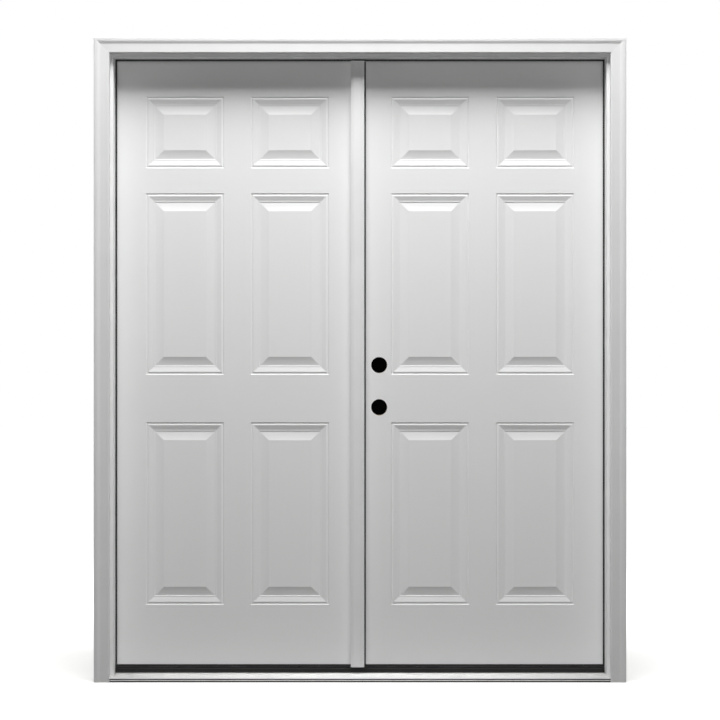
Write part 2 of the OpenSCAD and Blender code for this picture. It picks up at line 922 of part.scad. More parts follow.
module astragal_body() {
    color("#ededea") difference() {
        translate([-astragal_thickness, leaf_front, leaf_lift + plug_height])
            cube([astragal_thickness, leaf_thickness, leaf_height - 2 * plug_height]);
        bolt_channel(leaf_top - bolt_length - 12, leaf_top);
        bolt_channel(leaf_lift, pad_bottom + bolt_length + 12);
        tab_slot(leaf_top - tab_drop - tab_height);
        tab_slot(pad_bottom + tab_drop - bolt_travel);
        for (z = bore_levels) {
            translate([-astragal_thickness - over, leaf_middle, z]) rotate([0, 90, 0])
                cylinder(d = strike_bore, h = astragal_thickness + 2 * over);
            translate([-strike_thickness, leaf_middle, z]) rotate([90, 0, 90])
                linear_extrude(strike_thickness + over) rounded(strike_plate, 5);
        }
        astragal_screw_set(0.02);
    }
}

module astragal_cap() {
    quirk = cap_right - 6.5;
    color("#ededea") along_z(pad_bottom, head_stop - bulb_reach - 1.5) difference() {
        polygon(concat(
            [[cap_left, leaf_front]],
            [[cap_left, cap_front + 4.5]],
            ogee([cap_left + 0.6, cap_front + 3.6], [cap_left + 11.5, cap_front], 6),
            [[quirk - 2, cap_front], [quirk - 1.2, cap_front + 2.2], [quirk, cap_front + 2.2]],
            arc([cap_right - 3, cap_front + 3], 3, 180, 360, 8),
            [[cap_right, cap_back], [0, cap_back], [0, leaf_front]]
        ));
        translate([5, cap_back - 6]) square([2, 6 + over]);
    }
}

// Seal in the cap's kerf, which closes on the active leaf's face
module astragal_seal() {
    deep = leaf_front - seal_clearance - cap_back;
    color("#1c1c1d") along_z(pad_bottom, head_stop - bulb_reach - 1.5) {
        translate([5.3, cap_back - 5.4]) square([1.4, 5.4 + over]);
        polygon(concat(
            [[4, cap_back]],
            arc([cap_right + 5 - deep / 2, cap_back + deep / 2], deep / 2, -90, 90, 10),
            [[5.5, cap_back + deep], [4, cap_back + deep - 3]]
        ));
    }
}

module plug(z0, z1) {
    difference() {
        translate([-astragal_thickness, leaf_front, z0]) cube([astragal_thickness, leaf_thickness, z1 - z0]);
        bolt_channel(z0 - over, z1 + over);
    }
}

module astragal_top_plug() {
    color("#d9d9d4") plug(leaf_top - plug_height, leaf_top);
}

module astragal_bottom_plug() {
    color("#d9d9d4") plug(pad_bottom, leaf_lift + plug_height);
}

module astragal_screws() {
    color("#a5a39d") astragal_screw_set(0);
}

module strike(z) {
    color("#b3b1ab") translate([-strike_thickness, leaf_middle, z]) rotate([90, 0, 90])
        linear_extrude(strike_thickness) difference() {
            rounded(strike_plate - [1, 1] * 2 * mortise_clearance, 5);
            circle(d = strike_bore);
        }
}

module latch_strike() {
    strike(bore_levels[0]);
}

module deadbolt_strike() {
    strike(bore_levels[1]);
}

// Square flush bolts with a finger tab, drawn back inside the astragal
module flush_bolt(z0, tab_z) {
    color("#b4b6b8") {
        translate([bolt_x - bolt_side / 2, leaf_middle - bolt_side / 2, z0])
            cube([bolt_side, bolt_side, bolt_length]);
        translate([bolt_x, leaf_middle - tab_width / 2, tab_z])
            cube([-bolt_x - 0.8, tab_width, tab_height]);
    }
}

module top_flush_bolt() {
    flush_bolt(leaf_top - bolt_length - 1, leaf_top - tab_drop - tab_height);
}

module bottom_flush_bolt() {
    flush_bolt(pad_bottom + 1, pad_bottom + tab_drop);
}

left_jamb();
right_jamb();
head_jamb();
left_brickmould();
right_brickmould();
head_brickmould();
left_weatherstrip();
right_weatherstrip();
head_weatherstrip();
sill_substrate();
sill_deck();
threshold_cap();
threshold_screw_1();
threshold_screw_2();
threshold_screw_3();
threshold_screw_4();
left_bottom_hinge_jamb_leaf();
left_middle_hinge_jamb_leaf();
left_top_hinge_jamb_leaf();
right_bottom_hinge_jamb_leaf();
right_middle_hinge_jamb_leaf();
right_top_hinge_jamb_leaf();
hinge_pins();
frame_hinge_screws();
head_bolt_strike();
passive_exterior_skin();
passive_interior_skin();
passive_hinge_stile();
passive_lock_stile();
passive_top_rail();
passive_bottom_rail();
passive_foam_core();
passive_sweep();
left_bottom_hinge_door_leaf();
left_middle_hinge_door_leaf();
left_top_hinge_door_leaf();
passive_hinge_screws();
astragal_body();
astragal_cap();
astragal_seal();
astragal_top_plug();
astragal_bottom_plug();
astragal_screws();
latch_strike();
deadbolt_strike();
top_flush_bolt();
bottom_flush_bolt();
active_exterior_skin();
active_interior_skin();
active_hinge_stile();
active_lock_stile();
active_top_rail();
active_bottom_rail();
active_foam_core();
active_lock_block();
active_sweep();
right_bottom_hinge_door_leaf();
right_middle_hinge_door_leaf();
right_top_hinge_door_leaf();
active_hinge_screws();
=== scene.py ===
import json
import math

import bmesh
import bpy
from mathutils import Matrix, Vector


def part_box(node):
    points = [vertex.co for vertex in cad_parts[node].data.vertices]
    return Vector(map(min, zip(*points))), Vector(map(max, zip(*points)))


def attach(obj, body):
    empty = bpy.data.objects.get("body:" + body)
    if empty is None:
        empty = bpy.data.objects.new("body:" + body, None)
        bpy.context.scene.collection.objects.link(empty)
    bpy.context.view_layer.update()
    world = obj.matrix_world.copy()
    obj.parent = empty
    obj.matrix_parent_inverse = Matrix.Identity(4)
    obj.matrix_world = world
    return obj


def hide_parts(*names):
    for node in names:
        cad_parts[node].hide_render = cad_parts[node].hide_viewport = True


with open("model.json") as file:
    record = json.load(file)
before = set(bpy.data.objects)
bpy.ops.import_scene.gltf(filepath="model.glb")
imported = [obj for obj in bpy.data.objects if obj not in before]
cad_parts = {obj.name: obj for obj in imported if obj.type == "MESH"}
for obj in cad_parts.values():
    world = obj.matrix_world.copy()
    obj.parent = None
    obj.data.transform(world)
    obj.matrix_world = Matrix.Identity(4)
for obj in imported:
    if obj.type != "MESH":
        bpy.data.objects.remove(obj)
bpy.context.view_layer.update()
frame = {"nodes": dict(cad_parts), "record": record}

MM = 0.001

# Levels and lines of the unit, in millimetres: X to the right, Y indoors and Z up
LEAF_FACE = 71.45
LEAF_BACK = 115.9
LEAF_BOTTOM = 47.6
LEAF_TOP = 2054.2
LEAF_EDGE = 815.975
SKIN = 0.8
ACTIVE = (3.175, LEAF_EDGE)
PASSIVE = (-LEAF_EDGE, -15.875)
RABBET = 819.15
HEAD_RABBET = 2057.375
STOP_DEPTH = 60.0
STOP_PROJECTION = 11.1
MOULD_OUTER = 869.95
MOULD_TOP = 2108.175
MOULD_WIDTH = 50.8
MOULD_THICK = 31.75
HINGE_LEVELS = (297.6, 1036.2, 1774.8)
HINGE_HEIGHT = 101.6
HINGE_X = 817.5625
HINGE_Y = 122.4
BORE_LEVELS = (897.0, 1036.7)
BORE_X = 63.5
BORE_RADIUS = 26.9875


def linear(code):
    """Turns an sRGB hex colour into the linear colour that shaders use."""
    parts = [int(code[i:i + 2], 16) / 255 for i in (1, 3, 5)]
    return [p / 12.92 if p <= 0.04045 else ((p + 0.055) / 1.055) ** 2.4 for p in parts] + [1.0]


def per(size):
    """Scale of a pattern whose features are this many millimetres across."""
    return 1 / (size * MM)


def add(tree, kind, settings, links):
    """Adds one shader node: settings go on its sockets or properties, links join it to other nodes."""
    made = tree.nodes.new("ShaderNode" + kind)
    for key, value in settings.items():
        if isinstance(key, str) and hasattr(made, key):
            setattr(made, key, value)
        else:
            made.inputs[key].default_value = value
    for key, source in links.items():
        tree.links.new(source, made.inputs[key])
    return made


def new_material(name):
    """An empty node material and the coordinates of the object that wears it."""
    material = bpy.data.materials.new(name)
    material.use_nodes = True
    tree = material.node_tree
    tree.nodes.clear()
    place = add(tree, "TexCoord", {}, {})
    return material, tree, place.outputs["Object"]


def close_material(tree, settings, links):
    """Puts the surface shader at the end of a material's tree."""
    surface = add(tree, "BsdfPrincipled", settings, links)
    add(tree, "OutputMaterial", {}, {"Surface": surface.outputs["BSDF"]})


def seen_by_eye(tree):
    """One where the camera looks, straight, by a reflection or through glass, and nought elsewhere."""
    path = add(tree, "LightPath", {}, {})
    seen = add(tree, "Math", {"operation": "MAXIMUM"},
               {0: path.outputs["Is Camera Ray"], 1: path.outputs["Is Glossy Ray"]})
    seen_all = add(tree, "Math", {"operation": "MAXIMUM"},
                   {0: seen.outputs[0], 1: path.outputs["Is Transmission Ray"]})
    return seen_all.outputs[0]


def primed_pressed_steel():
    # Galvanised sheet, pressed in a die and sprayed with white primer. The film is satin, with an
    # orange peel about 2 mm across, drawn at 7 mm so that it shows, and a slow drift of tint and
    # gloss where the spray passes overlapped.
    material, tree, place = new_material("primed_pressed_steel")
    drift = add(tree, "TexNoise", {"Scale": per(420), "Detail": 3.0}, {"Vector": place})
    peel = add(tree, "TexNoise", {"Scale": per(7), "Detail": 2.0}, {"Vector": place})
    tint = add(tree, "Mix", {"data_type": "RGBA", 6: linear("#f2f2f2"), 7: linear("#f7f7f7")},
               {0: drift.outputs["Fac"]})
    gloss = add(tree, "MapRange", {"From Min": 0.3, "From Max": 0.7, "To Min": 0.4, "To Max": 0.54},
                {"Value": drift.outputs["Fac"]})
    relief = add(tree, "Bump", {"Strength": 0.1, "Distance": 0.25 * MM}, {"Height": peel.outputs["Fac"]})
    close_material(tree, {"IOR": 1.5}, {
        "Base Color": tint.outputs[2], "Roughness": gloss.outputs[0], "Normal": relief.outputs[0]})
    return material


def primed_timber(name, dark, light, along):
    # Finger-jointed pine, run through a moulder and primed. The primer hides the colour of the wood,
    # but long fibres about 1.5 mm wide still stand a hair proud along the piece, drawn at 3 mm, and
    # the coat is thinner here and there.
    material, tree, place = new_material(name)
    stretch = [per(3), per(3), per(3)]
    stretch[along] = per(180)
    lie = add(tree, "Mapping", {"Scale": stretch}, {"Vector": place})
    fibre = add(tree, "TexNoise", {"Scale": 1.0, "Detail": 3.0, "Roughness": 0.6},
                {"Vector": lie.outputs["Vector"]})
    coat = add(tree, "TexNoise", {"Scale": per(160), "Detail": 4.0}, {"Vector": place})
    shade = add(tree, "Math", {"operation": "MULTIPLY_ADD", 1: 0.35},
                {0: fibre.outputs["Fac"], 2: coat.outputs["Fac"]})
    spread = add(tree, "MapRange", {"From Min": 0.45, "From Max": 0.9}, {"Value": shade.outputs[0]})
    tint = add(tree, "Mix", {"data_type": "RGBA", 6: linear(dark), 7: linear(light)},
               {0: spread.outputs[0]})
    gloss = add(tree, "MapRange", {"From Min": 0.3, "From Max": 0.7, "To Min": 0.5, "To Max": 0.66},
                {"Value": coat.outputs["Fac"]})
    relief = add(tree, "Bump", {"Strength": 0.1, "Distance": 0.2 * MM}, {"Height": fibre.outputs["Fac"]})
    close_material(tree, {"IOR": 1.48}, {
        "Base Color": tint.outputs[2], "Roughness": gloss.outputs[0], "Normal": relief.outputs[0]})
    return material


def bare_pine(name, along):
    # Planed pine, left bare. Annual rings a few millimetres apart give pale and brown stripes along
    # the piece, with darker flecks of resin and a dry, matt face.
    material, tree, place = new_material(name)
    stretch = [per(5), per(5), per(5)]
    stretch[along] = per(260)
    lie = add(tree, "Mapping", {"Scale": stretch}, {"Vector": place})
    rings = add(tree, "TexNoise", {"Scale": 1.0, "Detail": 4.0, "Distortion": 0.6},
                {"Vector": lie.outputs["Vector"]})
    fleck_stretch = [per(1.2), per(1.2), per(1.2)]
    fleck_stretch[along] = per(24)
    fleck_lie = add(tree, "Mapping", {"Scale": fleck_stretch}, {"Vector": place})
    fleck = add(tree, "TexNoise", {"Scale": 1.0, "Detail": 2.0}, {"Vector": fleck_lie.outputs["Vector"]})
    stripe = add(tree, "MapRange", {"From Min": 0.36, "From Max": 0.64}, {"Value": rings.outputs["Fac"]})
    board = add(tree, "Mix", {"data_type": "RGBA", 6: linear("#b98a56"), 7: linear("#dcbc8a")},
                {0: stripe.outputs[0]})
    dots = add(tree, "MapRange", {"From Min": 0.6, "From Max": 0.8, "To Max": 0.5},
               {"Value": fleck.outputs["Fac"]})
    tint = add(tree, "Mix", {"data_type": "RGBA", 7: linear("#86592f")},
               {0: dots.outputs[0], 6: board.outputs[2]})
    gloss = add(tree, "MapRange", {"To Min": 0.6, "To Max": 0.78}, {"Value": fleck.outputs["Fac"]})
    relief = add(tree, "Bump", {"Strength": 0.25, "Distance": 0.2 * MM}, {"Height": rings.outputs["Fac"]})
    close_material(tree, {"IOR": 1.48}, {
        "Base Color": tint.outputs[2], "Roughness": gloss.outputs[0], "Normal": relief.outputs[0]})
    return material


def drawn_metal(name, dark, light, along, roughness, wide):
    # A metal that was drawn, rolled or brushed in one direction: fine lines along it break the
    # reflections into a soft sheen across it, and handling leaves duller patches.
    material, tree, place = new_material(name)
    stretch = [per(wide), per(wide), per(wide)]
    stretch[along] = per(400 * wide)
    lie = add(tree, "Mapping", {"Scale": stretch}, {"Vector": place})
    lines = add(tree, "TexNoise", {"Scale": 1.0, "Detail": 3.0, "Roughness": 0.65},
                {"Vector": lie.outputs["Vector"]})
    dull = add(tree, "TexNoise", {"Scale": per(45), "Detail": 3.0}, {"Vector": place})
    tint = add(tree, "Mix", {"data_type": "RGBA", 6: linear(dark), 7: linear(light)},
               {0: lines.outputs["Fac"]})
    gloss = add(tree, "MapRange", {
        "From Min": 0.3, "From Max": 0.7, "To Min": roughness - 0.06, "To Max": roughness + 0.08},
        {"Value": dull.outputs["Fac"]})
    relief = add(tree, "Bump", {"Strength": 0.3, "Distance": 0.06 * MM}, {"Height": lines.outputs["Fac"]})
    close_material(tree, {"Metallic": 1.0}, {
        "Base Color": tint.outputs[2], "Roughness": gloss.outputs[0], "Normal": relief.outputs[0]})
    return material


def moulded_plastic(name, dark, light, grain, roughness, depth, index=1.5):
    # A plastic, rubber or composite that was moulded or extruded: even colour with faint cloudiness,
    # a fine skin texture of the given grain, and dust that dulls it in patches.
    material, tree, place = new_material(name)
    skin = add(tree, "TexNoise", {"Scale": per(grain), "Detail": 3.0}, {"Vector": place})
    cloud = add(tree, "TexNoise", {"Scale": per(70), "Detail": 4.0}, {"Vector": place})
    tint = add(tree, "Mix", {"data_type": "RGBA", 6: linear(dark), 7: linear(light)},
               {0: cloud.outputs["Fac"]})
    gloss = add(tree, "MapRange", {
        "From Min": 0.3, "From Max": 0.7, "To Min": roughness - 0.07, "To Max": roughness + 0.07},
        {"Value": cloud.outputs["Fac"]})
    relief = add(tree, "Bump", {"Strength": 0.3, "Distance": depth * MM}, {"Height": skin.outputs["Fac"]})
    close_material(tree, {"IOR": index}, {
        "Base Color": tint.outputs[2], "Roughness": gloss.outputs[0], "Normal": relief.outputs[0]})
    return material


X, Z = 0, 2
steel_primer = primed_pressed_steel()
mould_primer = primed_timber("primed_pine_mould", "#ececec", "#f2f2f2", Z)
# The head's primer is a darker copy of the legs': painted shade that holds down the high lamp's light on
# the head
mould_primer_head_shaded = primed_timber("primed_pine_mould_head_shaded", "#e6e6e6", "#ededed", X)
cap_primer = primed_timber("primed_pine_astragal", "#f3f3f3", "#f8f8f8", Z)
jamb_primer = primed_timber("primed_pine_jamb", "#ededed", "#f4f4f4", Z)
jamb_primer_head = primed_timber("primed_pine_jamb_head", "#eeeeee", "#f5f5f5", X)
pine_upright = bare_pine("bare_pine_upright", Z)
pine_rail = bare_pine("bare_pine_rail", X)
aluminium = drawn_metal("extruded_mill_aluminium", "#a3a3a2", "#b9b9b8", X, 0.34, 1.2)
nickel = drawn_metal("satin_nickel_plate", "#8b8883", "#a19e98", Z, 0.32, 0.8)
zinc = drawn_metal("bright_zinc_plate", "#9fa2a5", "#b6b9bc", Z, 0.34, 0.8)
brass = drawn_metal("turned_brass", "#b99a55", "#d0b470", Z, 0.32, 0.8)
seal_rubber = moulded_plastic("foam_seal_skin", "#0d0d0e", "#141415", 1.5, 0.72, 0.15)
sweep_vinyl = moulded_plastic("extruded_black_vinyl", "#1a1a1b", "#242425", 2.0, 0.55, 0.08)
# Dark composite of the threshold cap, made darker still: painted shade for its front under the leaf
cap_composite_and_shade = moulded_plastic("dark_cap_composite", "#100f0f", "#181716", 2.5, 0.55, 0.12, 1.3)
sill_composite = moulded_plastic("sill_base_composite", "#22211f", "#2d2b28", 3.0, 0.7, 0.2)
# Near-black vinyl with a weak reflection: painted shade, worn by the plugs deep in the bores and the insert
# in the sill's nose
plug_vinyl = moulded_plastic("black_painted_shade_vinyl", "#030303", "#060606", 2.0, 0.75, 0.06, 1.12)
white_vinyl = moulded_plastic("white_end_plug_vinyl", "#d8d8d4", "#e2e2de", 2.0, 0.5, 0.06)
core_foam = moulded_plastic("rigid_core_foam", "#dccb92", "#e8dbab", 1.8, 0.85, 0.4)

DRESS = {
    "left_jamb": jamb_primer, "right_jamb": jamb_primer, "head_jamb": jamb_primer_head,
    "left_brickmould": mould_primer, "right_brickmould": mould_primer,
    "head_brickmould": mould_primer_head_shaded,
    "astragal_body": cap_primer, "astragal_cap": cap_primer,
    "sill_deck": aluminium, "sill_substrate": sill_composite, "threshold_cap": cap_composite_and_shade,
    "active_lock_block": pine_upright,
}
BY_ENDING = (
    ("_weatherstrip", seal_rubber), ("_seal", seal_rubber), ("_sweep", sweep_vinyl),
    ("_plug", white_vinyl), ("_skin", steel_primer), ("_stile", pine_upright), ("_rail", pine_rail),
    ("_core", core_foam), ("hinge_jamb_leaf", nickel), ("hinge_door_leaf", nickel),
    ("hinge_pins", nickel), ("_screws", zinc), ("_strike", nickel), ("_bolt", zinc),
)


def dress_nodes():
    """Gives every CAD node its finish in place of the plain colour it was packed with."""
    for name, node in frame["nodes"].items():
        finish = DRESS.get(name)
        if name.startswith("threshold_screw"):
            finish = brass
        for ending, kind in BY_ENDING:
            if finish is None and name.endswith(ending):
                finish = kind
        node.data.materials.clear()
        node.data.materials.append(finish)


def start(name):
    """Names the new primitive, which is alone selected, and returns it."""
    piece = bpy.context.object
    piece.name = name
    piece.data.name = name
    return piece


def clear_selection():
    """Leaves edit mode and selects nothing."""
    if bpy.context.object and bpy.context.object.mode == "EDIT":
        bpy.ops.object.mode_set(mode="OBJECT")
    bpy.ops.object.select_all(action="DESELECT")


def pick(piece, kind, test):
    """In edit mode, selects only the faces or edges whose middle and direction pass the test."""
    bpy.ops.mesh.select_mode(type="FACE" if kind == "faces" else "EDGE")
    bpy.ops.mesh.select_all(action="DESELECT")
    shape = bmesh.from_edit_mesh(piece.data)
    for part in getattr(shape, kind):
        if kind == "faces":
            middle = part.calc_center_median()
            part.select = test(middle, part.normal)
        else:
            middle = (part.verts[0].co + part.verts[1].co) / 2
            part.select = test(middle, part.verts[1].co - part.verts[0].co)
    shape.select_flush_mode()
    bmesh.update_edit_mesh(piece.data)


def modify(piece, kind, **settings):
    """Adds a modifier with its settings and applies it."""
    bpy.context.view_layer.objects.active = piece
    made = piece.modifiers.new(kind.lower(), kind)
    for key, value in settings.items():
        setattr(made, key, value)
    bpy.ops.object.modifier_apply(modifier=made.name)


def settle(piece, body, slot, finish, *nodes):
    """Gives a finished piece its finish and body, in place of the nodes that it stands for. The slot is not
    used.
    """
    piece.data.materials.clear()
    piece.data.materials.append(finish)
    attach(piece, body)
    if nodes:
        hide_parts(*nodes)
    clear_selection()
    return piece


# Panels, as distances from the hinge edge of their leaf and as levels
PANEL_COLUMNS = ((107.5, 366.3), (454.8, 713.6))
PANEL_ROWS = ((244.1, 847.7), (1004.8, 1605.1), (1687.8, 1924.3))


def border():
    """Pressed border of a panel, as pairs of distance from the panel's edge and depth."""
    groove = [(0, 0), (0.5, 0.3), (1.2, 1.15), (2.2, 2.0), (3.4, 2.4), (4.3, 2.3), (5.6, 1.85), (7.2, 1.15)]
    bead = [(8.4, 0.78), (9.4, 0.7), (10.4, 0.8), (11.2, 1.0)]
    slope_and_flat = [(24.4, 4.25), (25.0, 4.33), (25.6, 4.35), (28.8, 4.36)]
    step = [(29.1, 4.45), (29.4, 4.95), (29.7, 5.5), (30.0, 5.77), (30.4, 5.8)]
    # A hollow bevel climbs from the valley to the raised field, ever more steeply
    (begin, valley), width = step[-1], 29.1
    foot_slope, gain = 0.1, 0.17
    bevel = []
    for i in range(1, 11):
        share = i / 10.5
        rise = width * (foot_slope * share + gain * share * share / 2)
        bevel.append((begin + width * share, valley - rise))
    field_edge = [(58.9, 0.46), (59.5, 0.4)]
    return groove + bead + slope_and_flat + step + bevel + field_edge


def pressed_skin(name, span, outdoors, hinge_side):
    """One steel skin: a sheet cut along the panels' edges, pressed in step by step, then thickened."""
    x0, x1 = span
    face = LEAF_FACE if outdoors else LEAF_BACK
    bpy.ops.mesh.primitive_plane_add(size=1)
    skin = start(name)
    skin.rotation_euler = (math.pi / 2 if outdoors else -math.pi / 2, 0, 0)
    skin.scale = ((x1 - x0) * MM, (LEAF_TOP - LEAF_BOTTOM) * MM, 1)
    skin.location = ((x0 + x1) / 2 * MM, face * MM, (LEAF_BOTTOM + LEAF_TOP) / 2 * MM)
    bpy.ops.object.transform_apply(location=True, rotation=True, scale=True)
    edges = [hinge_side * (LEAF_EDGE - e) for column in PANEL_COLUMNS for e in column]
    bpy.ops.object.mode_set(mode="EDIT")
    for x in edges:
        bpy.ops.mesh.select_all(action="SELECT")
        bpy.ops.mesh.bisect(plane_co=(x * MM, 0, 0), plane_no=(1, 0, 0))
    for z in [level for row in PANEL_ROWS for level in row]:
        bpy.ops.mesh.select_all(action="SELECT")
        bpy.ops.mesh.bisect(plane_co=(0, 0, z * MM), plane_no=(0, 0, 1))

    def in_a_panel(middle, normal):
        across = LEAF_EDGE - hinge_side * middle.x / MM
        inside = any(a < across < b for a, b in PANEL_COLUMNS)
        return inside and any(a < middle.z / MM < b for a, b in PANEL_ROWS)

    pick(skin, "faces", in_a_panel)
    steps = border()
    for (at, deep), (to, deeper) in zip(steps, steps[1:]):
        bpy.ops.mesh.inset(thickness=(to - at) * MM, depth=(deep - deeper) * MM, use_individual=True)
    # The press leaves a crisp mitre in each corner of a panel
    least = 0.05 * MM
    pick(skin, "edges", lambda middle, run: abs(run.x) > least and abs(run.z) > least)
    bpy.ops.mesh.mark_sharp()
    bpy.ops.object.mode_set(mode="OBJECT")
    modify(skin, "SOLIDIFY", thickness=SKIN * MM, offset=-1.0, use_even_offset=True)
    return skin


def cut(piece, cutter):
    """Takes the cutter's shape out of a piece and removes the cutter."""
    modify(piece, "BOOLEAN", operation="DIFFERENCE", object=cutter, solver="EXACT")
    bpy.data.objects.remove(cutter)


def bore_cutter(level):
    """A cross bore for a lock, longer than the leaf is thick."""
    middle = (LEAF_FACE + LEAF_BACK) / 2
    bpy.ops.mesh.primitive_cylinder_add(
        vertices=96, radius=BORE_RADIUS * MM, depth=80 * MM,
        location=(BORE_X * MM, middle * MM, level * MM), rotation=(math.pi / 2, 0, 0))
    return bpy.context.object


def plate_cutter(level, side):
    """A hinge plate's mortise, where it runs out through the indoor skin."""
    bpy.ops.mesh.primitive_cube_add(size=1)
    block = bpy.context.object
    block.scale = (5.4 * MM, 30 * MM, (HINGE_HEIGHT + 0.4) * MM)
    block.location = (side * LEAF_EDGE * MM, LEAF_BACK * MM, (level + HINGE_HEIGHT / 2) * MM)
    bpy.ops.object.transform_apply(location=True, rotation=True, scale=True)
    return block


def make_skins():
    """The outdoor and indoor skin of each leaf, with the lock's bores and the hinges' mortises."""
    for leaf, span, side in (("passive", PASSIVE, -1), ("active", ACTIVE, 1)):
        for outdoors in (True, False):
            node = leaf + ("_exterior_skin" if outdoors else "_interior_skin")
            skin = pressed_skin(node.replace("skin", "pressed_skin"), span, outdoors, side)
            if leaf == "active":
                for level in BORE_LEVELS:
                    cut(skin, bore_cutter(level))
            if not outdoors:
                for level in HINGE_LEVELS:
                    cut(skin, plate_cutter(level, side))
            clear_selection()
            skin.select_set(True)
            bpy.context.view_layer.objects.active = skin
            bpy.ops.object.shade_smooth_by_angle(angle=math.radians(35))
            modify(skin, "WEIGHTED_NORMAL", keep_sharp=True)
            settle(skin, leaf + "_leaf", "primed_steel", steel_primer, node)


def draw_line(name, points):
    """Draws a line point after point, from the one point that is left of a small plane."""
    bpy.ops.mesh.primitive_plane_add(size=2 * MM, location=[c * MM for c in points[0]])
    piece = start(name)
    bpy.ops.object.transform_apply(location=True, rotation=True, scale=True)
    bpy.ops.object.mode_set(mode="EDIT")
    bpy.ops.mesh.select_mode(type="VERT")
    bpy.ops.mesh.select_all(action="SELECT")
    bpy.ops.mesh.merge(type="CENTER")
    for here, there in zip(points, points[1:]):
        step = [(b - a) * MM for a, b in zip(here, there)]
        bpy.ops.mesh.extrude_region_move(TRANSFORM_OT_translate={"value": step})
    bpy.ops.mesh.select_all(action="SELECT")
    return piece


def draw_outline(name, points):
    """Draws the outline of a strip and fills it."""
    piece = draw_line(name, points)
    bpy.ops.mesh.edge_face_add()
    return piece


def run_out(way):
    """Runs the outline just drawn out into a strip, whose faces then all look outwards."""
    bpy.ops.mesh.extrude_region_move(TRANSFORM_OT_translate={"value": [c * MM for c in way]})
    bpy.ops.mesh.select_all(action="SELECT")
    bpy.ops.mesh.normals_make_consistent(inside=False)


def saw(point, across, keep_below=True):
    """Saws the strip in edit mode through a point, square to a direction, and closes the cut."""
    bpy.ops.mesh.select_all(action="SELECT")
    bpy.ops.mesh.bisect(plane_co=[c * MM for c in point], plane_no=across, use_fill=True,
                        clear_outer=keep_below, clear_inner=not keep_below)


def smooth(piece, degrees=35):
    """Back in object mode, puts the piece's origin at the unit's, and shades what is rounded smooth."""
    if piece.mode == "EDIT":
        bpy.ops.object.mode_set(mode="OBJECT")
    clear_selection()
    piece.select_set(True)
    bpy.context.view_layer.objects.active = piece
    bpy.ops.object.transform_apply(location=True, rotation=True, scale=True)
    bpy.ops.object.shade_smooth_by_angle(angle=math.radians(degrees))


def arc(middle, radius, first, last, count):
    """Points of an arc between two angles in degrees."""
    turns = [math.radians(first + (last - first) * i / count) for i in range(count + 1)]
    return [(middle[0] + radius * math.cos(t), middle[1] + radius * math.sin(t)) for t in turns]


def ogee(begin, end, count):
    """Points of a smooth S, level at both ends."""
    points = []
    for i in range(count + 1):
        share = i / count
        rise = (1 - math.cos(math.pi * share)) / 2
        points.append((begin[0] + (end[0] - begin[0]) * share, begin[1] + (end[1] - begin[1]) * rise))
    return points


def mould_outline():
    """Brickmould as pairs of distance from its outer edge and height off the wall."""
    edge_round, nose_round = 3, 3.2
    points = [(0, 0)] + arc((edge_round, MOULD_THICK - edge_round), edge_round, 180, 90, 6)
    points += ogee((9.5, MOULD_THICK), (23.5, MOULD_THICK - 3.3), 14)
    points += arc((MOULD_WIDTH - nose_round, MOULD_THICK - 5.5), nose_round, 93, 0, 8)
    return points + [(MOULD_WIDTH, 0)]


def make_brickmoulds():
    """Two legs and a head, sawn to a mitre where they meet."""
    corner = (MOULD_OUTER, 0, MOULD_TOP)
    for name, side in (("left", -1), ("right", 1)):
        points = [(side * (MOULD_OUTER - u), -v, 0) for u, v in mould_outline()]
        leg = draw_outline(name + "_brickmould_leg", points)
        run_out((0, 0, MOULD_TOP))
        saw((side * corner[0], 0, corner[2]), (-side, 0, 1))
        smooth(leg)
        settle(leg, "frame", "painted_mould", mould_primer, name + "_brickmould")
    points = [(-MOULD_OUTER, -v, MOULD_TOP - u) for u, v in mould_outline()]
    head = draw_outline("head_brickmould_rail", points)
    run_out((2 * MOULD_OUTER, 0, 0))
    saw((-corner[0], 0, corner[2]), (1, 0, 1), keep_below=False)
    saw((corner[0], 0, corner[2]), (-1, 0, 1), keep_below=False)
    smooth(head)
    settle(head, "frame", "painted_mould", mould_primer_head_shaded, "head_brickmould")


def strip_outline():
    """Weatherstrip as pairs of distance out of the rabbet and from the stop: barbed stem and bulb."""
    stem = [(0, 0.4), (-2, 0.4), (-2.6, 0), (-4.6, 0.4), (-5.2, 0), (-7.2, 0.4), (-8.8, 1.1), (-8.8, 1.9)]
    stem += [(-7.2, 2.6), (-5.2, 3), (-4.6, 2.6), (-2.6, 3), (-2, 2.6), (0, 2.6), (0, 5)]
    bulb_round = 5.575
    bulb = arc((5, 6.15), 5, 160, 90, 6) + arc((11.025, bulb_round), bulb_round, 90, -90, 18)
    return stem + bulb + [(1, 0)]


def make_weatherstrips():
    """A bulb seal down each side of the rabbet and along the head."""
    for name, side in (("left", -1), ("right", 1)):
        low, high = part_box(name + "_weatherstrip")
        points = [(side * (RABBET - u), STOP_DEPTH + v, low[2] / MM) for u, v in strip_outline()]
        strip = draw_outline(name + "_weatherstrip_bulb", points)
        run_out((0, 0, (high[2] - low[2]) / MM))
        smooth(strip)
        settle(strip, "frame", "black_seal", seal_rubber, name + "_weatherstrip")
    points = [(-RABBET, STOP_DEPTH + v, HEAD_RABBET - u) for u, v in strip_outline()]
    strip = draw_outline("head_weatherstrip_bulb", points)
    run_out((2 * RABBET, 0, 0))
    smooth(strip)
    settle(strip, "frame", "black_seal", seal_rubber, "head_weatherstrip")


def ease(piece, width, segments, degrees):
    """Eases the corners of a piece that are sharper than an angle."""
    modify(piece, "BEVEL", width=width * MM, segments=segments, limit_method="ANGLE",
           angle_limit=math.radians(degrees))


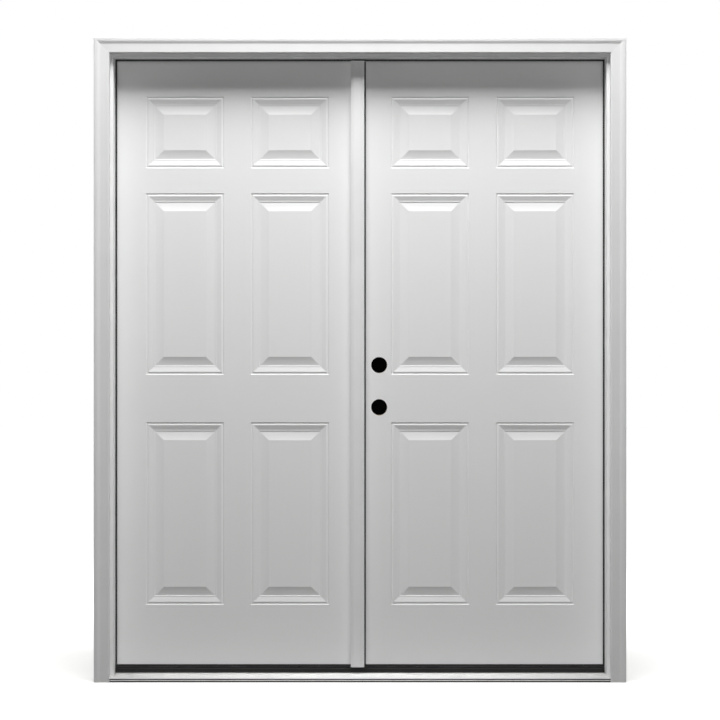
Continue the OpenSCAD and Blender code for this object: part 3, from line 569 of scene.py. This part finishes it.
def make_bore_plugs():
    """Push-in plugs that close the cross bores from indoors. Their near-black vinyl is painted shade, which
    makes the bores read as dark holes.
    """
    rim_radius, rim_face = 26.6, 104.0
    for name, level in zip(("latch", "deadbolt"), BORE_LEVELS):
        bpy.ops.mesh.primitive_circle_add(
            vertices=64, radius=rim_radius * MM, fill_type="NGON",
            location=(BORE_X * MM, rim_face * MM, level * MM), rotation=(math.pi / 2, 0, 0))
        plug = start(name + "_bore_plug")
        bpy.ops.object.transform_apply(location=True, rotation=True, scale=True)
        bpy.ops.object.mode_set(mode="EDIT")
        bpy.ops.mesh.select_all(action="SELECT")
        bpy.ops.mesh.inset(thickness=1.2 * MM, depth=0)
        bpy.ops.mesh.inset(thickness=0.5 * MM, depth=-7 * MM)
        bpy.ops.mesh.inset(thickness=16 * MM, depth=0)
        bpy.ops.mesh.inset(thickness=1.5 * MM, depth=0.8 * MM)
        bpy.ops.object.mode_set(mode="OBJECT")
        modify(plug, "SOLIDIFY", thickness=1.1 * MM, offset=-1.0)
        ease(plug, 0.3, 2, 40)
        smooth(plug)
        settle(plug, "active_leaf", "sweep_vinyl", plug_vinyl)


def make_sill_deck():
    """Extruded aluminium sill: hooked nose, sloping deck with fine tread ribs, and the cap's channel."""
    nose, nose_top, wall = -29.0, 12.7, 1.6
    front, back, floor, lip = 58, 113, 21.5, 26
    slope = (floor - nose_top) / (front - nose)
    hook_round, hook_middle, hook_back = 1.2, 6.6, nose + 6.6
    slot_back, slot_low, slot_high = nose + 5, 7.8, 11.4
    edge_round = 0.65
    first_rib, rib_pitch, rib_count, rib_height = -22, 4, 18, 0.37

    def line(y):
        return nose_top + slope * (y - nose)

    outline = [(hook_back, hook_middle - hook_round)]
    outline += arc((nose + hook_round, hook_middle), hook_round, 270, 90, 10)
    outline += [(slot_back, slot_low), (slot_back, slot_high)]
    outline += arc((nose + edge_round, nose_top - edge_round), edge_round, 270, 96, 8)
    for k in range(rib_count):
        y = first_rib + rib_pitch * k
        top = line(y) + rib_height
        outline += [(y, line(y)), (y + 0.4, top), (y + 1.2, top), (y + 1.6, line(y + 1.6))]
    outline += [(front, floor), (front, lip), (front + wall, lip), (front + wall, floor)]
    outline += [(back, floor), (back, lip), (back + wall, lip), (back + wall, floor - wall)]
    outline += [(front, floor - wall), (hook_back, line(hook_back) - wall)]
    deck = draw_outline("ribbed_sill_deck", [(-RABBET, y, z) for y, z in outline])
    run_out((2 * RABBET, 0, 0))
    smooth(deck)
    for side in (-1, 1):
        bpy.ops.mesh.primitive_cube_add(size=1)
        stop_end = bpy.context.object
        stop_end.scale = (2 * STOP_PROJECTION * MM, STOP_DEPTH * MM, 120 * MM)
        stop_end.location = (side * RABBET * MM, STOP_DEPTH / 2 * MM, 0)
        cut(deck, stop_end)
    for k in (-3, -1, 1, 3):
        bpy.ops.mesh.primitive_cylinder_add(
            vertices=24, radius=3.4 * MM, depth=10 * MM,
            location=(k * RABBET / 4.1 * MM, (front + back) / 2 * MM, 20 * MM))
        cut(deck, bpy.context.object)
    smooth(deck, 25)
    settle(deck, "frame", "mill_aluminium", aluminium, "sill_deck")
    # The nose insert is near-black vinyl: painted shade, which darkens the groove in the sill's nose
    play = 0.1
    low, high, depth, half_length = slot_low + play, slot_high - play, slot_back - play, RABBET - 0.25
    points = [(depth, low), (nose + 1.9, low)] + arc((nose + 2.6, (low + high) / 2), 1.2, 210, 150, 6)
    points += [(nose + 1.9, high), (depth, high)]
    insert = draw_outline("sill_nose_insert", [(-half_length, y, z) for y, z in points])
    run_out((2 * half_length, 0, 0))
    smooth(insert)
    settle(insert, "frame", "sweep_vinyl", plug_vinyl)


def make_astragal():
    """The astragal's cap, with its ogee edge, quirk and bead, and the kerf for its seal."""
    left, right, front, lap_back = -30.16, 14.29, 39.7, 61.0
    kerf_floor, bead_round = lap_back - 6, 3
    low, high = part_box("astragal_cap")
    outline = [(left, LEAF_FACE), (left, front + 4.5)]
    outline += ogee((left + 0.6, front + 3.6), (left + 11.5, front), 12)
    quirk, quirk_floor = right - 6.5, front + 2.2
    outline += [(quirk - 2, front), (quirk - 1.6, front + 1.3)]
    outline += [(quirk - 1.2, quirk_floor), (quirk, quirk_floor)]
    outline += arc((right - bead_round, front + bead_round), bead_round, 180, 360, 16)
    outline += [(right, lap_back), (7, lap_back), (7, kerf_floor), (5, kerf_floor), (5, lap_back)]
    outline += [(0, lap_back), (0, LEAF_FACE)]
    cap = draw_outline("moulded_astragal_cap", [(x, y, low[2] / MM) for x, y in outline])
    run_out((0, 0, (high[2] - low[2]) / MM))
    smooth(cap)
    settle(cap, "passive_leaf", "primed_astragal", cap_primer, "astragal_cap")


def set_out(pattern, name, places):
    """Copies a pattern to each place, a point and a turn about Y, and makes the copies one piece."""
    copies = []
    for point, turn in places:
        copy = pattern.copy()
        copy.data = pattern.data.copy()
        bpy.context.scene.collection.objects.link(copy)
        copy.location = [c * MM for c in point]
        copy.rotation_euler = (0, math.radians(turn), 0)
        copies.append(copy)
    clear_selection()
    for copy in copies:
        copy.select_set(True)
    bpy.context.view_layer.objects.active = copies[0]
    bpy.ops.object.transform_apply(location=True, rotation=True, scale=True)
    bpy.ops.object.join()
    return start(name)


def wood_screw(length):
    """A countersunk screw with a cross recess, its head's face at the origin and its shank downwards."""
    bpy.ops.mesh.primitive_circle_add(vertices=28, radius=4.4 * MM, fill_type="NGON")
    screw = start("screw_pattern")
    bpy.ops.object.mode_set(mode="EDIT")
    bpy.ops.mesh.select_all(action="SELECT")
    for drop, shrink in ((0.35, 1.0), (1.85, 0.5), (length - 8.2, 1.0), (6.0, 0.15)):
        bpy.ops.mesh.extrude_region_move(TRANSFORM_OT_translate={"value": (0, 0, -drop * MM)})
        bpy.ops.transform.resize(value=(shrink, shrink, 1))
    bpy.ops.mesh.select_all(action="SELECT")
    bpy.ops.mesh.normals_make_consistent(inside=False)
    bpy.ops.object.mode_set(mode="OBJECT")
    for turn in (0, 90):
        bpy.ops.mesh.primitive_cube_add(size=1, rotation=(0, 0, math.radians(turn)))
        wing = bpy.context.object
        wing.scale = (5.0 * MM, 1.0 * MM, 3.2 * MM)
        cut(screw, wing)
    ease(screw, 0.12, 1, 50)
    smooth(screw, 40)
    return screw


def drive_screws(length, sets):
    """Models one screw and makes each set of its copies a piece: name, body, node and places."""
    pattern = wood_screw(length)
    for name, body, node, places in sets:
        settle(set_out(pattern, name, places), body, "screw_steel", zinc, node)
    bpy.data.objects.remove(pattern)


def make_screws():
    """Screws of the hinges, short in the jambs and long in the leaves, and those of the astragal."""
    near, far = 90.4, 104.4
    spots = [(y, level + share * HINGE_HEIGHT) for level in HINGE_LEVELS
             for y, share in ((far, 0.14), (near, 0.38), (near, 0.62), (far, 0.86))]
    places = [((side * RABBET, y, z), -90 * side) for side in (-1, 1) for y, z in spots]
    drive_screws(16, [("jamb_wood_screws", "frame", "frame_hinge_screws", places)])
    sets = []
    for leaf, side in (("passive", -1), ("active", 1)):
        places = [((side * LEAF_EDGE, y, z), 90 * side) for y, z in spots]
        sets.append((leaf + "_wood_screws", leaf + "_leaf", leaf + "_hinge_screws", places))
    drive_screws(22, sets)
    places = [((0, LEAF_FACE + 9, LEAF_BOTTOM + share * (LEAF_TOP - LEAF_BOTTOM)), 90)
              for share in (0.15, 0.33, 0.57, 0.72, 0.86)]
    drive_screws(35.875, [("astragal_wood_screws", "passive_leaf", "astragal_screws", places)])


def make_hinge_pins():
    """Loose pins with a domed head that sits on the top knuckle, turned from their outline."""
    radius, head_radius, dome_foot, dome = 3.0, 5.6, HINGE_HEIGHT + 1.7, 1.9
    outline = [(0.2, 0.3), (radius - 0.4, 0.3), (radius, 0.8), (radius, HINGE_HEIGHT)]
    outline += [(head_radius - 0.3, HINGE_HEIGHT), (head_radius, HINGE_HEIGHT + 0.3)]
    outline += [(head_radius, dome_foot)]
    turns = [math.radians(a) for a in range(10, 86, 15)]
    outline += [(head_radius * math.cos(t), dome_foot + dome * math.sin(t)) for t in turns]
    pin = draw_line("pin_pattern", [(r, 0, z) for r, z in outline])
    bpy.ops.mesh.spin(steps=32, angle=math.tau, center=(0, 0, 0), axis=(0, 0, 1))
    bpy.ops.mesh.select_all(action="SELECT")
    bpy.ops.mesh.remove_doubles(threshold=0.02 * MM)
    bpy.ops.mesh.fill_holes(sides=64)
    bpy.ops.mesh.select_all(action="SELECT")
    bpy.ops.mesh.normals_make_consistent(inside=False)
    smooth(pin, 40)
    places = [((side * HINGE_X, HINGE_Y, level), 0) for side in (-1, 1) for level in HINGE_LEVELS]
    settle(set_out(pin, "domed_hinge_pins", places), "frame", "hinge_steel", nickel, "hinge_pins")
    bpy.data.objects.remove(pin)


# How far the corners of each kind of solid are eased, in millimetres
EASED = (
    ("_jamb", 1.2), ("astragal_body", 0.8), ("_plug", 0.5), ("threshold_cap", 0.4),
    ("threshold_screw", 0.2), ("hinge_jamb_leaf", 0.3), ("hinge_door_leaf", 0.3), ("_strike", 0.2),
    ("_bolt", 0.4), ("_sweep", 0.3), ("sill_substrate", 0.6), ("_stile", 0.4), ("_rail", 0.4),
)


def ease_solids():
    """Copies the solids that keep their shape and eases their corners, as sanding, dies and moulds do."""
    bodies = frame["record"]["behaviour"]["bodies"]
    slots = {part["node"]: part["material_slot"] for part in frame["record"]["subparts"]}
    for name, node in frame["nodes"].items():
        width = next((w for kind, w in EASED if kind in name), None)
        if node.hide_render or width is None:
            continue
        piece = bpy.data.objects.new("eased_" + name, node.data.copy())
        bpy.context.scene.collection.objects.link(piece)
        clear_selection()
        piece.select_set(True)
        bpy.context.view_layer.objects.active = piece
        bpy.ops.object.mode_set(mode="EDIT")
        bpy.ops.mesh.select_all(action="SELECT")
        bpy.ops.mesh.remove_doubles(threshold=0.005 * MM)
        bpy.ops.mesh.dissolve_limited(angle_limit=math.radians(0.5))
        bpy.ops.object.mode_set(mode="OBJECT")
        ease(piece, width, 2, 35)
        # Where a ledge is too narrow to ease, its points fall together and are made one
        bpy.ops.object.mode_set(mode="EDIT")
        bpy.ops.mesh.select_all(action="SELECT")
        bpy.ops.mesh.remove_doubles(threshold=0.02 * MM)
        smooth(piece)
        modify(piece, "WEIGHTED_NORMAL", keep_sharp=True)
        body = next(b for b, members in bodies.items() if name in members)
        settle(piece, body, slots[name], node.data.materials[0], name)


def make_floor():
    # Pale painted floor. It takes the door's shadow as a matt surface does. To the camera and in metal
    # it also glows, more so away from the door, and so runs into the white background. The light that
    # it throws back on to the door is held down, as a dark cloth does on a studio floor.
    bpy.ops.mesh.primitive_plane_add(size=60)
    floor = start("studio_floor")
    material, tree, place = new_material("pale_studio_floor")
    dust = add(tree, "TexNoise", {"Scale": per(900), "Detail": 2.0}, {"Vector": place})
    tint = add(tree, "Mix", {"data_type": "RGBA", 6: linear("#ebebe9"), 7: linear("#f0f0ee")},
               {0: dust.outputs["Fac"]})
    pale = add(tree, "BsdfDiffuse", {}, {"Color": tint.outputs[2]})
    cloth = add(tree, "BsdfDiffuse", {"Color": linear("#4b4b49")}, {})
    away = add(tree, "VectorMath", {"operation": "LENGTH"}, {0: place})
    rise = add(tree, "MapRange", {"From Min": 1.0, "From Max": 4.0, "To Min": 0.3, "To Max": 1.0},
               {"Value": away.outputs["Value"]})
    glow = add(tree, "Emission", {}, {"Strength": rise.outputs[0]})
    both = add(tree, "AddShader", {}, {0: pale.outputs[0], 1: glow.outputs[0]})
    mix = add(tree, "MixShader", {}, {0: seen_by_eye(tree), 1: cloth.outputs[0], 2: both.outputs[0]})
    add(tree, "OutputMaterial", {}, {"Surface": mix.outputs[0]})
    floor.data.materials.append(material)
    clear_selection()


def light_studio():
    """A broad lamp high in front, a large soft one behind the camera, three that fill the sides and
    back, and a surround that is white to the eye but gives little light."""
    def lamp(name, place, aim, width, height, spread, watts):
        data = bpy.data.lights.new(name, "AREA")
        data.shape = "RECTANGLE"
        data.size = width
        data.size_y = height
        data.energy = watts
        data.spread = math.radians(spread)
        holder = bpy.data.objects.new(name, data)
        bpy.context.scene.collection.objects.link(holder)
        holder.location = place
        direction = [a - p for a, p in zip(aim, place)]
        flat = math.hypot(direction[0], direction[1])
        holder.rotation_euler = (math.pi / 2 + math.atan2(direction[2], flat), 0,
                                 math.atan2(direction[1], direction[0]) - math.pi / 2)

    # Places, aims and sizes in metres, then the spread in degrees and the watts
    lamp("high_key", (0, -1.43, 4.5), (0, 0.07, 1.6), 2.1, 1.5, 110, 67)
    lamp("front_fill", (0, -9.6, 1.5), (0, 0, 1.0), 6.0, 4.0, 180, 134)
    lamp("left_side_fill", (-4.2, 1.7, 2.0), (-0.87, 0.06, 1.0), 2.0, 2.0, 150, 60)
    lamp("right_side_fill", (4.2, 1.7, 2.0), (0.87, 0.06, 1.0), 2.0, 2.0, 150, 60)
    lamp("back_fill", (0.6, 4.4, 2.6), (0, 0, 1.0), 2.4, 1.8, 140, 40)
    world = bpy.data.worlds.new("pale_surround")
    bpy.context.scene.world = world
    world.use_nodes = True
    tree = world.node_tree
    tree.nodes.clear()
    soft = add(tree, "Background", {"Color": linear("#ffffff"), "Strength": 0.01}, {})
    white = add(tree, "Background", {"Color": linear("#ffffff"), "Strength": 1.0}, {})
    mix = add(tree, "MixShader", {}, {0: seen_by_eye(tree), 1: soft.outputs[0], 2: white.outputs[0]})
    add(tree, "OutputWorld", {}, {"Surface": mix.outputs[0]})


def set_camera():
    """A long lens square on to the door, at half its height, as the photograph looks."""
    data = bpy.data.cameras.new("front_camera")
    camera = bpy.data.objects.new("front_camera", data)
    bpy.context.scene.collection.objects.link(camera)
    data.sensor_width = 36
    data.lens = 122.5
    data.clip_end = 200
    camera.location = (0, -8.032, 1.0535)
    camera.rotation_euler = (math.pi / 2, 0, 0)
    bpy.context.scene.camera = camera


clear_selection()
set_camera()
dress_nodes()
make_skins()
make_brickmoulds()
make_weatherstrips()
make_bore_plugs()
make_sill_deck()
make_astragal()
make_screws()
make_hinge_pins()
ease_solids()
make_floor()
light_studio()
bpy.context.scene.view_settings.view_transform = "Standard"
